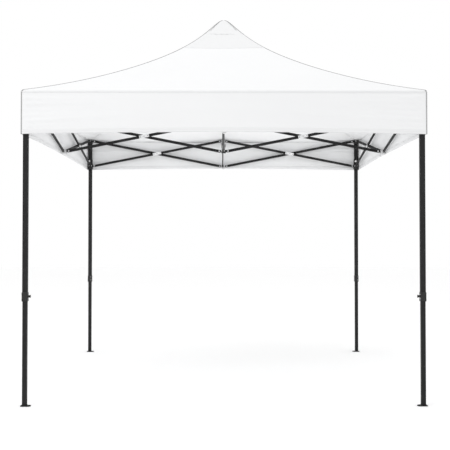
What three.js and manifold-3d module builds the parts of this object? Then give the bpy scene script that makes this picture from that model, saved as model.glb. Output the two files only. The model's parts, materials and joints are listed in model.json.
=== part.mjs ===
// A pop up canopy of the 3 m class: four telescopic legs, a scissor frame of twenty-four bars
// that folds into a bundle, a sliding centre pole and a sewn cover with a valance.
// Millimetres, +Z up. The origin lies on the ground under the peak, and the front faces -Y.
import * as THREE from "three";
import { mergeVertices } from "three/addons/utils/BufferGeometryUtils.js";
import Module from "manifold-3d";

const wasm = await Module();
wasm.setup();

// Driving dimensions
const LEG_REACH = 1450; // leg axis from the centre planes, along X and along Y
const UPPER_PIN_Z = 2290; // pins of the leg tops and of the upper hubs
const LOWER_PIN_Z = 2020; // pins of the sliders and of the lower hubs
const LEG_ARM = 42; // pin from the leg axis
const SIDE_ARM = 38; // pin of a side bar from a middle hub's centre
const CENTRE_ARM = 40; // pin of a centre bar from the hubs at its two ends

// Scissor bars: two lie side by side in each X, with a small gap between them
const BAR = { height: 25, width: 12, wall: 0.8, gap: 1, pastPin: 10, plug: 22, vent: 4 };
const PIN = { radius: 4, hole: 4.8, sides: 8, head: 7, headSides: 6, headThickness: 3.5 };
const LATERAL = (BAR.width + BAR.gap) / 2;
const EAR = { radius: 10, thickness: 4, slot: BAR.width + 1 };
const PITCH = Math.atan2(UPPER_PIN_Z - LOWER_PIN_Z, LEG_REACH - LEG_ARM - SIDE_ARM);
const BAR_LENGTH = (UPPER_PIN_Z - LOWER_PIN_Z) / Math.sin(PITCH);

// Hub blocks, measured from the plane of their pins
const HUB = { half: 20, above: 10, below: 18, poleHole: 11.5 };
const LOWER_SOCKET_DEPTH = 12; // how far the centre pole's seat goes below the lower pins

// Legs
const OUTER_LEG = { size: 37, wall: 1, bottom: 765, top: 2299, boreTop: 2268 };
const COLLAR = { size: 44, bottom: 760, top: 825, lipTop: 768, lipBore: 34 };
const LEG_CAP = { size: 45, bottom: 2262 };
const INNER_LEG = { size: 33, wall: 1, top: 1010 };
const FOOT = { thickness: 6, depth: 45, outward: 29, inward: 45, hole: 6, holeAt: 31 };
const KNOB = { z: 796, pin: 3.5, pinTip: 16.8, boss: 9, bossFace: 28, head: 9, headLength: 11 };
const KNOB_HOLE = 4.4;

// Sliders, with a push button above the bars, aside from where the nearest bar folds
const SLIDER = { low: 1990, step: 2046, high: 2092, wide: 50, narrow: 45, bore: 38.4 };
const BUTTON = { z: 2070, aside: 8, radius: 7, hole: 8, inner: 23.4, outer: 33.5, sides: 12 };
const BUTTON_BOSS = { radius: 10, face: 29 };

// Centre pole
const POLE = { radius: 10, wall: 1.2, bottom: 2012, boreTop: 3150, neckTop: 3160 };
const POLE_CAP = { radius: 36, rim: 3168, top: 3202 };

// Cover: its height depends only on s, the larger of |x| and |y|
const EAVE = { half: 1480, z: 2301 };
const RISE = 916;
const PEAK_ROUNDING = 50;
const ROOF_THICKNESS = 2;
const VALANCE = { bottom: 1978, thickness: 2 };
const PEAK_PATCH = 178; // half width of the patch over the pole's cap
const COVER_START = 182;
const COVER_STEPS = 7;
const PATCH_STEPS = 5;
const COVER_GAP = 1; // between two sides of the cover, at the hip seam

const SIDES = ["front", "right", "back", "left"];
const CORNERS = ["front_left", "front_right", "back_right", "back_left"];

const black = () => new THREE.MeshStandardMaterial({ color: 0x1d1d1e, roughness: 0.5, metalness: 0.3 });
const greySteel = () =>
  new THREE.MeshStandardMaterial({ color: 0x878889, roughness: 0.45, metalness: 0.8 });
const blackPlastic = () => new THREE.MeshStandardMaterial({ color: 0x18181a, roughness: 0.55 });
const greyPlastic = () => new THREE.MeshStandardMaterial({ color: 0xc9cbcd, roughness: 0.45 });
const whitePlastic = () => new THREE.MeshStandardMaterial({ color: 0xe8e8e6, roughness: 0.4 });
const whiteCloth = () => new THREE.MeshStandardMaterial({ color: 0xf1f2f3, roughness: 0.85 });

// A three.js geometry as a solid that can be joined and cut.
function solid(geometry) {
  const bare = geometry.clone();
  bare.deleteAttribute("normal");
  bare.deleteAttribute("uv");
  const merged = mergeVertices(bare, 1e-3);
  return new wasm.Manifold(
    new wasm.Mesh({
      numProp: 3,
      vertProperties: merged.attributes.position.array,
      triVerts: new Uint32Array(merged.index.array),
    }),
  );
}

const join = (solids) => solids.reduce((whole, next) => whole.add(next));

function meshOf(name, shape, material) {
  const made = shape.getMesh();
  const geometry = new THREE.BufferGeometry()
    .setAttribute("position", new THREE.BufferAttribute(made.vertProperties, 3))
    .setIndex(new THREE.BufferAttribute(made.triVerts, 1));
  geometry.computeVertexNormals();
  const mesh = new THREE.Mesh(geometry, material);
  mesh.name = name;
  return mesh;
}

// A box given by its lowest and highest corners.
function box([x0, y0, z0], [x1, y1, z1]) {
  return solid(
    new THREE.BoxGeometry(x1 - x0, y1 - y0, z1 - z0).translate(
      (x0 + x1) / 2,
      (y0 + y1) / 2,
      (z0 + z1) / 2,
    ),
  );
}

const column = (size, z0, z1) => box([-size / 2, -size / 2, z0], [size / 2, size / 2, z1]);

// A round rod along X from x0 to x1, at a height z and a sideways place y.
function rodAlongX(radius, x0, x1, y, z, sides = PIN.sides) {
  return solid(
    new THREE.CylinderGeometry(radius, radius, x1 - x0, sides)
      .rotateZ(-Math.PI / 2)
      .translate((x0 + x1) / 2, y, z),
  );
}

// A round rod along Y from y0 to y1.
function rodAlongY(radius, x, y0, y1, z, sides = PIN.sides) {
  return solid(
    new THREE.CylinderGeometry(radius, radius, y1 - y0, sides).translate(x, (y0 + y1) / 2, z),
  );
}

// A round rod along Z from z0 to z1, about the Z axis unless x is given.
function rodAlongZ(radius, z0, z1, sides, x = 0) {
  return solid(
    new THREE.CylinderGeometry(radius, radius, z1 - z0, sides)
      .rotateX(Math.PI / 2)
      .translate(x, 0, (z0 + z1) / 2),
  );
}

// A flat ear in the XZ plane from x0 to a round end about x1, from y0 to y1.
function ear(x0, x1, radius, y0, y1) {
  const outline = new THREE.Shape();
  outline.moveTo(x0, -radius);
  outline.lineTo(x1, -radius);
  outline.absarc(x1, 0, radius, -Math.PI / 2, Math.PI / 2);
  outline.lineTo(x0, radius);
  const geometry = new THREE.ExtrudeGeometry(outline, {
    depth: y1 - y0,
    bevelEnabled: false,
    curveSegments: 4,
  });
  return solid(geometry.rotateX(Math.PI / 2).translate(0, y1, 0));
}

// A hexagonal bolt head along Y.
const boltHead = (x, y0, y1) => rodAlongY(PIN.head, x, y0, y1, 0, PIN.headSides);

// A bar along X from its first pin at 0 to its last: a tube with solid plugs at its ends and a
// small vent. boltSide is the side on which the X's other bar lies, for the bar that carries the
// X's bolt, and 0 for the other bar.
function barShape(boltSide) {
  const half = BAR.width / 2;
  const inside = half - BAR.wall;
  const halfHeight = BAR.height / 2;
  const insideHeight = halfHeight - BAR.wall;
  const middle = BAR_LENGTH / 2;
  const hollowStart = BAR.plug - BAR.pastPin;
  const pinHole = (x) => rodAlongY(PIN.hole, x, -BAR.width, BAR.width, 0);
  const shape = box([-BAR.pastPin, -half, -halfHeight], [BAR_LENGTH + BAR.pastPin, half, halfHeight])
    .subtract(box([hollowStart, -inside, -insideHeight], [BAR_LENGTH - hollowStart, inside, insideHeight]))
    .subtract(pinHole(0))
    .subtract(pinHole(BAR_LENGTH));
  if (boltSide === 0) return shape.subtract(pinHole(middle));
  const ventAt = BAR_LENGTH / 4;
  const vent = box([ventAt, -BAR.vent / 2, -BAR.height], [ventAt + BAR.vent, BAR.vent / 2, 0]);
  const farFace = half + BAR.gap + BAR.width + 0.5; // beyond the other bar, with play
  const [low, high] = boltSide > 0 ? [-half, farFace] : [-farFace, half];
  return join([
    shape.subtract(vent),
    rodAlongY(PIN.radius, middle, low, high, 0),
    boltHead(middle, low - PIN.headThickness, low),
    boltHead(middle, high, high + PIN.headThickness),
  ]);
}

// A clevis that reaches along +X for one bar, turned by quarter turns. The bar's slot is beside
// the arm's middle plane by aside, and its bolt is at reach.
function arm(root, reach, aside, quarterTurns) {
  const inner = aside - EAR.slot / 2;
  const outer = aside + EAR.slot / 2;
  const farInner = inner - EAR.thickness;
  const farOuter = outer + EAR.thickness;
  return join([
    ear(root - 1, reach, EAR.radius, farInner, inner),
    ear(root - 1, reach, EAR.radius, outer, farOuter),
    rodAlongY(PIN.radius, reach, inner - 1, outer + 1, 0),
    boltHead(reach, farInner - PIN.headThickness, farInner),
    boltHead(reach, farOuter, farOuter + PIN.headThickness),
  ]).rotate([0, 0, 90 * quarterTurns]);
}

const hubBlock = () =>
  box([-HUB.half, -HUB.half, -HUB.below], [HUB.half, HUB.half, HUB.above]);

// The hub at the middle of the frame, with four arms.
function centreHub(aside) {
  const arms = [-1, 0, 1, 2].map((turns) => arm(HUB.half, CENTRE_ARM, aside, turns));
  return join([hubBlock(), ...arms]);
}

// A hub in the middle of a side, in that side's frame: two arms along it and one towards the centre.
function sideHub(sideAside, centreAside, isLower) {
  const arms = [
    arm(HUB.half, SIDE_ARM, sideAside, 0),
    arm(HUB.half, SIDE_ARM, -sideAside, 2),
    arm(HUB.half, CENTRE_ARM, centreAside, 1),
  ];
  const belly = rodAlongY(HUB.half, 0, -HUB.half, HUB.half, -HUB.below + 4, 16);
  return join([hubBlock(), ...arms, ...(isLower ? [belly] : [])]);
}

const offsetBy = (x, y, z, shape) => shape.translate([x, y, z]);

// An outer leg about its own axis, in its corner's frame: collar, tube and cap with two arms.
function outerLegShape(knobTurns) {
  const bore = OUTER_LEG.size - 2 * OUTER_LEG.wall;
  const boss = rodAlongX(KNOB.boss, COLLAR.size / 2 - 1, KNOB.bossFace, 0, KNOB.z);
  const hole = rodAlongX(KNOB_HOLE, 10, KNOB.bossFace + 1, 0, KNOB.z);
  const quarter = (shape) => shape.rotate([0, 0, 90 * knobTurns]);
  const capHalf = LEG_CAP.size / 2;
  return join([
    column(OUTER_LEG.size, OUTER_LEG.bottom, OUTER_LEG.top - 1),
    column(COLLAR.size, COLLAR.bottom, COLLAR.top),
    quarter(boss),
    column(LEG_CAP.size, LEG_CAP.bottom, OUTER_LEG.top),
    offsetBy(0, 0, UPPER_PIN_Z, arm(capHalf, LEG_ARM, -LATERAL, 0)),
    offsetBy(0, 0, UPPER_PIN_Z, arm(capHalf, LEG_ARM, LATERAL, 1)),
  ])
    .subtract(column(bore, COLLAR.lipTop, OUTER_LEG.boreTop))
    .subtract(column(COLLAR.lipBore, COLLAR.bottom - 1, COLLAR.lipTop + 1))
    .subtract(quarter(hole));
}

// How far beside its face's middle line a slider's button lies, in the button's own frame.
const buttonAside = (buttonTurns) => (buttonTurns === 0 ? -BUTTON.aside : BUTTON.aside);

// A slider about its leg's axis, in its corner's frame.
function sliderShape(buttonTurns) {
  const aside = buttonAside(buttonTurns);
  const boss = rodAlongX(BUTTON_BOSS.radius, SLIDER.narrow / 2 - 1, BUTTON_BOSS.face, aside, BUTTON.z);
  const hole = rodAlongX(BUTTON.hole, 10, BUTTON_BOSS.face + 1, aside, BUTTON.z, BUTTON.sides);
  const half = SLIDER.wide / 2;
  return join([
    column(SLIDER.wide, SLIDER.low, SLIDER.step),
    column(SLIDER.narrow, SLIDER.step - 1, SLIDER.high),
    boss.rotate([0, 0, 90 * buttonTurns]),
    offsetBy(0, 0, LOWER_PIN_Z, arm(half, LEG_ARM, LATERAL, 0)),
    offsetBy(0, 0, LOWER_PIN_Z, arm(half, LEG_ARM, -LATERAL, 1)),
  ])
    .subtract(column(SLIDER.bore, SLIDER.low - 1, SLIDER.high + 1))
    .subtract(hole.rotate([0, 0, 90 * buttonTurns]));
}

// An inner leg about its own axis: a tube, open at the top, welded to a foot with a pegging hole.
function innerLegShape(footTurns) {
  const inside = INNER_LEG.size - 2 * INNER_LEG.wall;
  const halfDepth = FOOT.depth / 2;
  const tongueAt = FOOT.inward - halfDepth;
  const straight = box([-FOOT.outward, -halfDepth, 0], [tongueAt, halfDepth, FOOT.thickness]);
  const tongue = rodAlongZ(halfDepth, 0, FOOT.thickness, 16, tongueAt);
  const foot = straight
    .add(tongue)
    .subtract(rodAlongZ(FOOT.hole, -1, FOOT.thickness + 1, 12, FOOT.holeAt))
    .rotate([0, 0, 90 * footTurns]);
  return foot
    .add(column(INNER_LEG.size, FOOT.thickness - 1, INNER_LEG.top))
    .subtract(column(inside, FOOT.thickness, INNER_LEG.top + 1));
}

// The pull knob with its locking pin, along +X from the leg's axis.
function pullKnobShape() {
  const head = KNOB.bossFace + 0.5;
  return join([
    rodAlongX(KNOB.pin, KNOB.pinTip, head + 1, 0, KNOB.z),
    rodAlongX(KNOB.head, head, head + KNOB.headLength, 0, KNOB.z, 12),
  ]);
}

function sliderButtonShape(buttonTurns) {
  const aside = buttonAside(buttonTurns);
  return rodAlongX(BUTTON.radius, BUTTON.inner, BUTTON.outer, aside, BUTTON.z, BUTTON.sides);
}

// The centre pole with its round cap.
function poleShape() {
  const inside = POLE.radius - POLE.wall;
  const { radius, rim, top } = POLE_CAP;
  const dome = new THREE.EllipseCurve(0, rim, radius, top - rim, 0, Math.PI / 2);
  const profile = [
    new THREE.Vector2(0, POLE.boreTop),
    new THREE.Vector2(inside, POLE.boreTop),
    new THREE.Vector2(inside, POLE.bottom),
    new THREE.Vector2(POLE.radius, POLE.bottom),
    new THREE.Vector2(POLE.radius, POLE.neckTop),
    ...dome.getPoints(4).slice(0, -1),
    new THREE.Vector2(0, top),
  ];
  return solid(new THREE.LatheGeometry(profile, 16).rotateX(Math.PI / 2));
}

// The cover's height at s from the centre planes.
function roofHeight(s) {
  const away = (at) => Math.hypot(at, PEAK_ROUNDING) - PEAK_ROUNDING;
  const u = 1 - away(s) / away(EAVE.half);
  return EAVE.z + RISE * (0.52 * u + 0.34 * u ** 2 + 0.14 * u ** 8);
}

// A sheet over one side of the frame, from s0 to s1 out, cut to the wedge between the hips. With
// a valance it hangs down from the outer edge.
function sheetShape(s0, s1, steps, gap, hasValance) {
  const places = Array.from({ length: steps + 1 }, (_, i) => s0 + ((s1 - s0) * i) / steps);
  const outer = places.map((s) => new THREE.Vector2(s, roofHeight(s)));
  const under = places.map((s) => new THREE.Vector2(s, roofHeight(s) - ROOF_THICKNESS));
  const inside = s1 - VALANCE.thickness;
  const hem = [
    new THREE.Vector2(s1, VALANCE.bottom),
    new THREE.Vector2(inside, VALANCE.bottom),
    new THREE.Vector2(inside, roofHeight(inside) - ROOF_THICKNESS),
  ];
  const edge = hasValance ? [...hem, ...under.slice(0, -1).reverse()] : under.reverse();
  const geometry = new THREE.ExtrudeGeometry(new THREE.Shape([...outer, ...edge]), {
    depth: 2 * s1,
    bevelEnabled: false,
  });
  // The outline's first axis goes outward, along -Y, and its second goes up.
  geometry.translate(0, 0, -s1).rotateX(Math.PI / 2).rotateZ(-Math.PI / 2);
  const far = s1 + 100;
  const wedge = new THREE.Shape([
    new THREE.Vector2(0, -gap),
    new THREE.Vector2(-far, -gap - far),
    new THREE.Vector2(far, -gap - far),
  ]);
  const prism = new THREE.ExtrudeGeometry(wedge, { depth: 2 * EAVE.z, bevelEnabled: false });
  return solid(geometry).intersect(solid(prism));
}

function peakPatchShape() {
  const quarter = sheetShape(0, PEAK_PATCH, PATCH_STEPS, -0.1, false);
  return join([0, 1, 2, 3].map((turns) => quarter.rotate([0, 0, 90 * turns])));
}

const canopy = new THREE.Group();
canopy.name = "pop_up_canopy";

// A bar in a side's frame: pinned at a start point, along a heading about Z, rising or falling.
function placeBar(group, name, shape, start, heading, rises) {
  const mesh = meshOf(name, shape, black());
  mesh.position.set(...start);
  mesh.rotation.order = "ZYX";
  mesh.rotation.z = heading;
  mesh.rotation.y = rises ? -PITCH : PITCH;
  group.add(mesh);
}

function buildSide(name, index) {
  const side = new THREE.Group();
  side.rotation.z = (index * Math.PI) / 2;
  const outward = -Math.PI / 2;
  const centreUpperPin = [LATERAL, -CENTRE_ARM, UPPER_PIN_Z];
  const centreLowerPin = [-LATERAL, -CENTRE_ARM, LOWER_PIN_Z];
  placeBar(side, name + "_centre_bar_upper", barShape(-1), centreUpperPin, outward, false);
  placeBar(side, name + "_centre_bar_lower", barShape(0), centreLowerPin, outward, true);
  const outerY = -LEG_REACH - LATERAL;
  const innerY = -LEG_REACH + LATERAL;
  const legX = -LEG_REACH + LEG_ARM;
  placeBar(side, name + "_outer_bar_left", barShape(1), [legX, outerY, UPPER_PIN_Z], 0, false);
  placeBar(side, name + "_outer_bar_right", barShape(1), [SIDE_ARM, outerY, LOWER_PIN_Z], 0, true);
  placeBar(side, name + "_inner_bar_left", barShape(0), [legX, innerY, LOWER_PIN_Z], 0, true);
  placeBar(side, name + "_inner_bar_right", barShape(0), [SIDE_ARM, innerY, UPPER_PIN_Z], 0, false);

  const upperHub = meshOf(name + "_upper_hub", sideHub(LATERAL, LATERAL, false), greyPlastic());
  upperHub.position.set(0, -LEG_REACH, UPPER_PIN_Z);
  const lowerHub = meshOf(name + "_lower_hub", sideHub(-LATERAL, -LATERAL, true), greyPlastic());
  lowerHub.position.set(0, -LEG_REACH, LOWER_PIN_Z);
  const cover = meshOf(
    name + "_cover",
    sheetShape(COVER_START, EAVE.half, COVER_STEPS, COVER_GAP, true),
    whiteCloth(),
  );
  side.add(upperHub, lowerHub, cover);
  canopy.add(side);
}

// Each corner's knob, button and foot face one of its two arms: 0 along its side, 1 towards
// the side before it.
const FACINGS = {
  front_left: { knob: 0, button: 1, foot: 0 },
  front_right: { knob: 1, button: 0, foot: 1 },
  back_right: { knob: 1, button: 1, foot: 0 },
  back_left: { knob: 0, button: 0, foot: 1 },
};

function buildCorner(name, index) {
  const corner = new THREE.Group();
  corner.rotation.z = (index * Math.PI) / 2;
  const leg = new THREE.Group();
  leg.position.set(-LEG_REACH, -LEG_REACH, 0);
  corner.add(leg);
  const facing = FACINGS[name];
  const quarter = (shape, turns) => shape.rotate([0, 0, 90 * turns]);
  leg.add(
    meshOf(name + "_outer_leg", outerLegShape(facing.knob), black()),
    meshOf(name + "_inner_leg", innerLegShape(facing.foot), black()),
    meshOf(name + "_slider", sliderShape(facing.button), blackPlastic()),
    meshOf(name + "_pull_knob", quarter(pullKnobShape(), facing.knob), blackPlastic()),
    meshOf(
      name + "_slider_button",
      quarter(sliderButtonShape(facing.button), facing.button),
      whitePlastic(),
    ),
  );
  canopy.add(corner);
}

SIDES.forEach(buildSide);
CORNERS.forEach(buildCorner);

const poleHole = rodAlongZ(HUB.poleHole, -HUB.below - 1, HUB.above + 1, 16);
const centreUpper = meshOf("centre_upper_hub", centreHub(LATERAL).subtract(poleHole), blackPlastic());
centreUpper.position.set(0, 0, UPPER_PIN_Z);
const poleSeat = rodAlongZ(HUB.poleHole, -LOWER_SOCKET_DEPTH, HUB.above + 1, 16);
const centreLower = meshOf("centre_lower_hub", centreHub(-LATERAL).subtract(poleSeat), blackPlastic());
centreLower.position.set(0, 0, LOWER_PIN_Z);
canopy.add(
  centreUpper,
  centreLower,
  meshOf("peak_pole", poleShape(), greySteel()),
  meshOf("roof_peak", peakPatchShape(), whiteCloth()),
);

export default canopy;
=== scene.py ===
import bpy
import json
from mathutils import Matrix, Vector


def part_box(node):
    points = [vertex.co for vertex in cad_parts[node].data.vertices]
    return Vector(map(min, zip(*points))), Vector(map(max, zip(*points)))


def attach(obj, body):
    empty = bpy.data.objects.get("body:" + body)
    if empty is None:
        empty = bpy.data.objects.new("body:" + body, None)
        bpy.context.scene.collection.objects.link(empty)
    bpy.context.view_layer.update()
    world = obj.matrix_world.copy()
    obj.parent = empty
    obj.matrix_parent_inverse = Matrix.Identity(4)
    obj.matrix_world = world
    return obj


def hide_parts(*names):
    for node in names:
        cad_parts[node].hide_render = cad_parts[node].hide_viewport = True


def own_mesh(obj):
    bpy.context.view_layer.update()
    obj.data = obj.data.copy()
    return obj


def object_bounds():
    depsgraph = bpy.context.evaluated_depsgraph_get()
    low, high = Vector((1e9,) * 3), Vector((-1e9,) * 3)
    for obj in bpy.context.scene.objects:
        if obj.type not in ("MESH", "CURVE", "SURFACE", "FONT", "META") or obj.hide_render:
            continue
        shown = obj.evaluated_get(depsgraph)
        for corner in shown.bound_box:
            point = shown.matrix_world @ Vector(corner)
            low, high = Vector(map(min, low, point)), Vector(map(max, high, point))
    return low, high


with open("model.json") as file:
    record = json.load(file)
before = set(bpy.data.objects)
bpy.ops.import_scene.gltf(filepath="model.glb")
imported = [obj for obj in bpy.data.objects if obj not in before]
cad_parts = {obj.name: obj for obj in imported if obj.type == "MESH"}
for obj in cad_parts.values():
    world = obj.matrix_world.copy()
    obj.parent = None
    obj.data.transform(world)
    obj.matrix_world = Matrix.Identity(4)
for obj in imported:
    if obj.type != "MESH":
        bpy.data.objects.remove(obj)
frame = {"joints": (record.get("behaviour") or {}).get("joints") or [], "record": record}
cad_box = [list(corner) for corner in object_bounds()]

import json
import math

import bmesh
import bpy
from mathutils import Matrix, Vector

# ---------------------------------------------------------------------------------------------
# Driving dimensions, in metres, from the frame where it holds them
# ---------------------------------------------------------------------------------------------

MM = 0.001
JOINTS = {joint["name"]: joint for joint in frame["joints"]}
LEG = abs(frame["record"]["mounts"][0]["pos_m"][0])  # leg axis from the centre planes
PEAK = cad_box[1][2]
EAVE = cad_box[1][0]
UPPER_PIN = JOINTS["fold"]["pos_m"][2]
LOWER_PIN = JOINTS["front_lower_hub_turn"]["pos_m"][2]
CENTRE_ARM = -JOINTS["fold"]["pos_m"][1]
SIDE_ARM = JOINTS["front_outer_bar_right_turn"]["pos_m"][0]
LEG_ARM = LEG + JOINTS["front_left_leg_top_turn"]["pos_m"][0]
FOLD = math.radians(JOINTS["fold"]["range_deg"][1])

BAR_HEIGHT = 25 * MM
BAR_WIDTH = 12 * MM
BAR_PAST_PIN = 10 * MM
LATERAL = 6.5 * MM  # each bar of a crossing from the crossing's own plane
EAR = 4 * MM
EAR_RADIUS = 10 * MM
SLOT = 13 * MM
PITCH = math.atan2(UPPER_PIN - LOWER_PIN, LEG - LEG_ARM - SIDE_ARM)
BAR_LENGTH = (UPPER_PIN - LOWER_PIN) / math.sin(PITCH)
FOLDED_EAVE = EAVE - BAR_LENGTH * (math.cos(PITCH) - math.cos(PITCH + FOLD))
KEEP = FOLDED_EAVE / EAVE  # how much of its width the cover keeps when the frame is folded

OUTER_TUBE = 37 * MM
INNER_TUBE = 33 * MM
VALANCE_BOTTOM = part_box("front_cover")[0].z
EAVE_Z = 2.301
PEAK_ROUNDING = 50 * MM
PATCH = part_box("roof_peak")[1].x
CLOTH = 1.0 * MM

SIDES = ["front", "right", "back", "left"]
CORNERS = ["front_left", "front_right", "back_right", "back_left"]


def quarter_turn(index):
    """The turn from the front side's place, or the front left corner's, to another one's."""
    return Matrix.Rotation(index * math.pi / 2, 4, "Z")


# ---------------------------------------------------------------------------------------------
# Camera, light and floor
# ---------------------------------------------------------------------------------------------


def make_camera():
    data = bpy.data.cameras.new("camera")
    data.lens = 64.4
    data.sensor_width = 36
    camera = bpy.data.objects.new("camera", data)
    bpy.context.scene.collection.objects.link(camera)
    camera.location = (-0.021, -7.329, 1.194)
    camera.rotation_euler = (math.radians(91.19), 0, math.radians(-0.26))
    bpy.context.scene.camera = camera


def make_light(name, place, aim, size, watts, colour=(1, 1, 1)):
    data = bpy.data.lights.new(name, "AREA")
    data.shape = "SQUARE"
    data.size = size
    data.energy = watts
    data.color = colour
    light = bpy.data.objects.new(name, data)
    bpy.context.scene.collection.objects.link(light)
    light.location = place
    light.rotation_euler = (Vector(aim) - Vector(place)).to_track_quat("-Z", "Y").to_euler()
    light.visible_camera = False


make_camera()
bpy.context.scene.view_settings.view_transform = "Standard"
make_light("top_softbox", (0.5, -1, 8), (0, 0, 0), 6, 60)
make_light("key_softbox", (-4, -6.5, 6.5), (0, 0, 1.8), 2.5, 110)
make_light("inside_bounce", (0, 0, 0.05), (0, 0.001, 3), 2.4, 32)
make_light("inside_fill", (0, 0, 1.95), (0, 0.001, 0), 2.4, 2)


# ---------------------------------------------------------------------------------------------
# Shader maths
# ---------------------------------------------------------------------------------------------


class Value:
    """A number in a shader. Arithmetic on it adds Math nodes to its material."""

    def __init__(self, paint, socket):
        self.paint = paint
        self.socket = socket

    def maths(self, operation, *values):
        inputs = dict(enumerate(values))
        return self.paint.node("ShaderNodeMath", {"operation": operation}, inputs)

    def __add__(self, other):
        return self.maths("ADD", self, other)

    def __radd__(self, other):
        return self.maths("ADD", other, self)

    def __sub__(self, other):
        return self.maths("SUBTRACT", self, other)

    def __rsub__(self, other):
        return self.maths("SUBTRACT", other, self)

    def __mul__(self, other):
        return self.maths("MULTIPLY", self, other)

    def __rmul__(self, other):
        return self.maths("MULTIPLY", other, self)

    def __truediv__(self, other):
        return self.maths("DIVIDE", self, other)

    def above(self, level):
        return self.maths("GREATER_THAN", self, level)

    def below(self, level):
        return self.maths("LESS_THAN", self, level)

    def wave(self):
        return self.maths("SINE", self)

    def size(self):
        return self.maths("ABSOLUTE", self)

    def rest(self):
        """What is left after the whole number."""
        return self.maths("FRACT", self)

    def most(self, other):
        return self.maths("MAXIMUM", self, other)


class Paint:
    """A material under construction."""

    def __init__(self, name, colour, roughness, metallic=0.0):
        self.material = bpy.data.materials.new(name)
        self.material.use_nodes = True
        self.tree = self.material.node_tree
        self.shader = self.tree.nodes["Principled BSDF"]
        self.set("Base Color", (*colour, 1))
        self.set("Roughness", roughness)
        self.set("Metallic", metallic)
        self.place = self.node("ShaderNodeTexCoord", {}, {}, "Object")

    def node(self, kind, settings, inputs, output=0):
        """Adds a node with its settings, then its sockets' values or links, and gives one output."""
        node = self.tree.nodes.new(kind)
        for name, value in settings.items():
            if name == "stops":
                self.set_stops(node.color_ramp, value)
            else:
                setattr(node, name, value)
        for name, value in inputs.items():
            self.feed(node.inputs[name], value)
        return Value(self, node.outputs[output])

    @staticmethod
    def set_stops(ramp, stops):
        while len(ramp.elements) < len(stops):
            ramp.elements.new(1)
        for element, (position, shade) in zip(ramp.elements, stops):
            element.position = position
            element.color = (shade, shade, shade, 1)

    def feed(self, socket, value):
        if isinstance(value, Value):
            self.tree.links.new(value.socket, socket)
        else:
            socket.default_value = value

    def set(self, socket, value):
        self.feed(self.shader.inputs[socket], value)

    def noise(self, scale, detail=2.0, roughness=0.5, place=None, stretch=None):
        where = place or self.place
        if stretch:
            where = self.node("ShaderNodeMapping", {}, {"Vector": where, "Scale": stretch})
        inputs = {"Vector": where, "Scale": scale, "Detail": detail, "Roughness": roughness}
        return self.node("ShaderNodeTexNoise", {}, inputs)

    def ramp(self, value, stops):
        return self.node("ShaderNodeValToRGB", {"stops": stops}, {"Fac": value})

    def mix(self, share, first, second):
        settings = {"data_type": "RGBA"}
        inputs = {0: share, 6: first, 7: second}
        return self.node("ShaderNodeMix", settings, inputs, 2)

    def bump(self, height, distance, strength=1.0, under=None):
        inputs = {"Height": height, "Distance": distance, "Strength": strength}
        if under is not None:
            inputs["Normal"] = under
        return self.node("ShaderNodeBump", {}, inputs)

    def map_part(self, axis):
        """One axis of the piece's own UV map, which is in metres."""
        uv = self.node("ShaderNodeUVMap", {"uv_map": "metres"}, {})
        return self.node("ShaderNodeSeparateXYZ", {}, {"Vector": uv}, axis)


def shade(level, tint=(1, 1, 1)):
    return (level * tint[0], level * tint[1], level * tint[2], 1)


def powder_coat():
    """Black satin powder coat: an orange-peel skin, faint dust and a few rubbed lines."""
    paint = Paint("black_powder_coat", (0.022, 0.022, 0.0225), 0.5)
    cloud = paint.noise(7, 3)
    dust = paint.ramp(paint.noise(38, 4, 0.65), [(0.48, 0.0), (0.75, 1.0)])
    rubbed = paint.ramp(paint.noise(210, 3, 0.6, stretch=(1, 1, 0.04)), [(0.66, 0.0), (0.74, 1.0)])
    coat = paint.mix(cloud, shade(0.018), shade(0.025, (1, 1, 1.02)))
    coat = paint.mix(dust * 0.07, coat, shade(0.12))
    coat = paint.mix(rubbed * 0.2, coat, shade(0.07))
    paint.set("Base Color", coat)
    paint.set("Roughness", 0.5 + dust * 0.14 + cloud * 0.1 - rubbed * 0.08)
    paint.set("Specular IOR Level", 0.07)
    peel = paint.bump(paint.noise(900, 2), 0.00012, 0.35)
    paint.set("Normal", paint.bump(paint.noise(190, 2), 0.0003, 0.22, peel))
    return paint.material


def nylon(name, level, roughness, tint=(1, 1, 1)):
    """Moulded nylon with a spark-eroded grain and slight flow marks."""
    paint = Paint(name, (level, level, level), roughness)
    flow = paint.noise(16, 2, stretch=(1, 1, 3))
    dirt = paint.ramp(paint.noise(60, 4, 0.6), [(0.5, 0.0), (0.8, 1.0)])
    base = paint.mix(flow, shade(level * 0.9, tint), shade(level * 1.1, tint))
    paint.set("Base Color", paint.mix(dirt * 0.12, base, shade(0.6 * level + 0.015)))
    paint.set("Specular IOR Level", 0.35)
    paint.set("Roughness", roughness - 0.06 + flow * 0.1 + dirt * 0.1)
    grain = paint.node("ShaderNodeTexVoronoi", {}, {"Vector": paint.place, "Scale": 1400.0})
    paint.set("Normal", paint.bump(grain, 0.00008, 0.4))
    return paint.material


def pole_steel():
    """Dull galvanised tube: a cloudy spangle, drawn lines along it and a few darker rubs."""
    paint = Paint("grey_steel", (0.25, 0.25, 0.255), 0.5, 0.75)
    spangle = paint.node("ShaderNodeTexVoronoi", {}, {"Vector": paint.place, "Scale": 160.0})
    drawn = paint.noise(300, 3, 0.6, stretch=(1, 1, 0.02))
    rubs = paint.ramp(paint.noise(14, 4, 0.65), [(0.5, 0.0), (0.75, 1.0)])
    steel = paint.mix(spangle * 1.2, shade(0.2), shade(0.3, (1, 1, 1.02)))
    steel = paint.mix(drawn * 0.3, steel, shade(0.36))
    paint.set("Base Color", paint.mix(rubs * 0.35, steel, shade(0.14)))
    paint.set("Roughness", 0.42 + drawn * 0.14 + rubs * 0.1)
    paint.set("Normal", paint.bump(drawn, 0.0001, 0.35))
    return paint.material


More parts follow.
